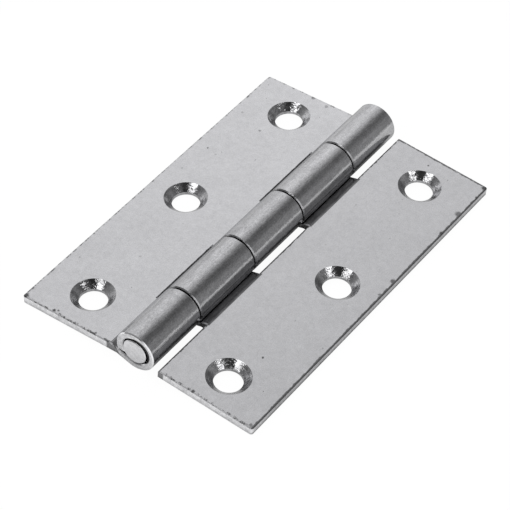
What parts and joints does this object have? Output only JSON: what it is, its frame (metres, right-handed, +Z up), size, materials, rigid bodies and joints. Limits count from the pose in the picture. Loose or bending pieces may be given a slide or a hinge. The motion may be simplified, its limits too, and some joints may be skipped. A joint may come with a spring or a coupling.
{
  "type": "butt hinge",
  "caption": "Pressed steel butt hinge: two flat leaves with countersunk screw holes, curled into interlocking knuckles around a fixed pin, lying open.",
  "frame": {"origin": "on the table, under the middle of the barrel", "axes": "+Y along the pin, +Z up from the table, the two-knuckle leaf lies towards +X"},
  "size_m": [0.0508, 0.075, 0.0082],
  "materials": {
    "leaf_plate": "bright zinc plate, satin, with small pits and nicks",
    "pin_steel": "zinc plated, cut ends"
  },
  "bodies": {
    "carrying_leaf": {"three_knuckle_leaf": "leaf_plate", "hinge_pin": "pin_steel"},
    "swinging_leaf": {"two_knuckle_leaf": "leaf_plate"}
  },
  "joints": [
    {"name": "leaf_swing", "type": "hinge", "parent": "carrying_leaf", "child": "swinging_leaf", "pos_m": [0, 0, 0.0041], "axis": [0, -1, 0], "range_deg": [-110, 190]}
  ]
}
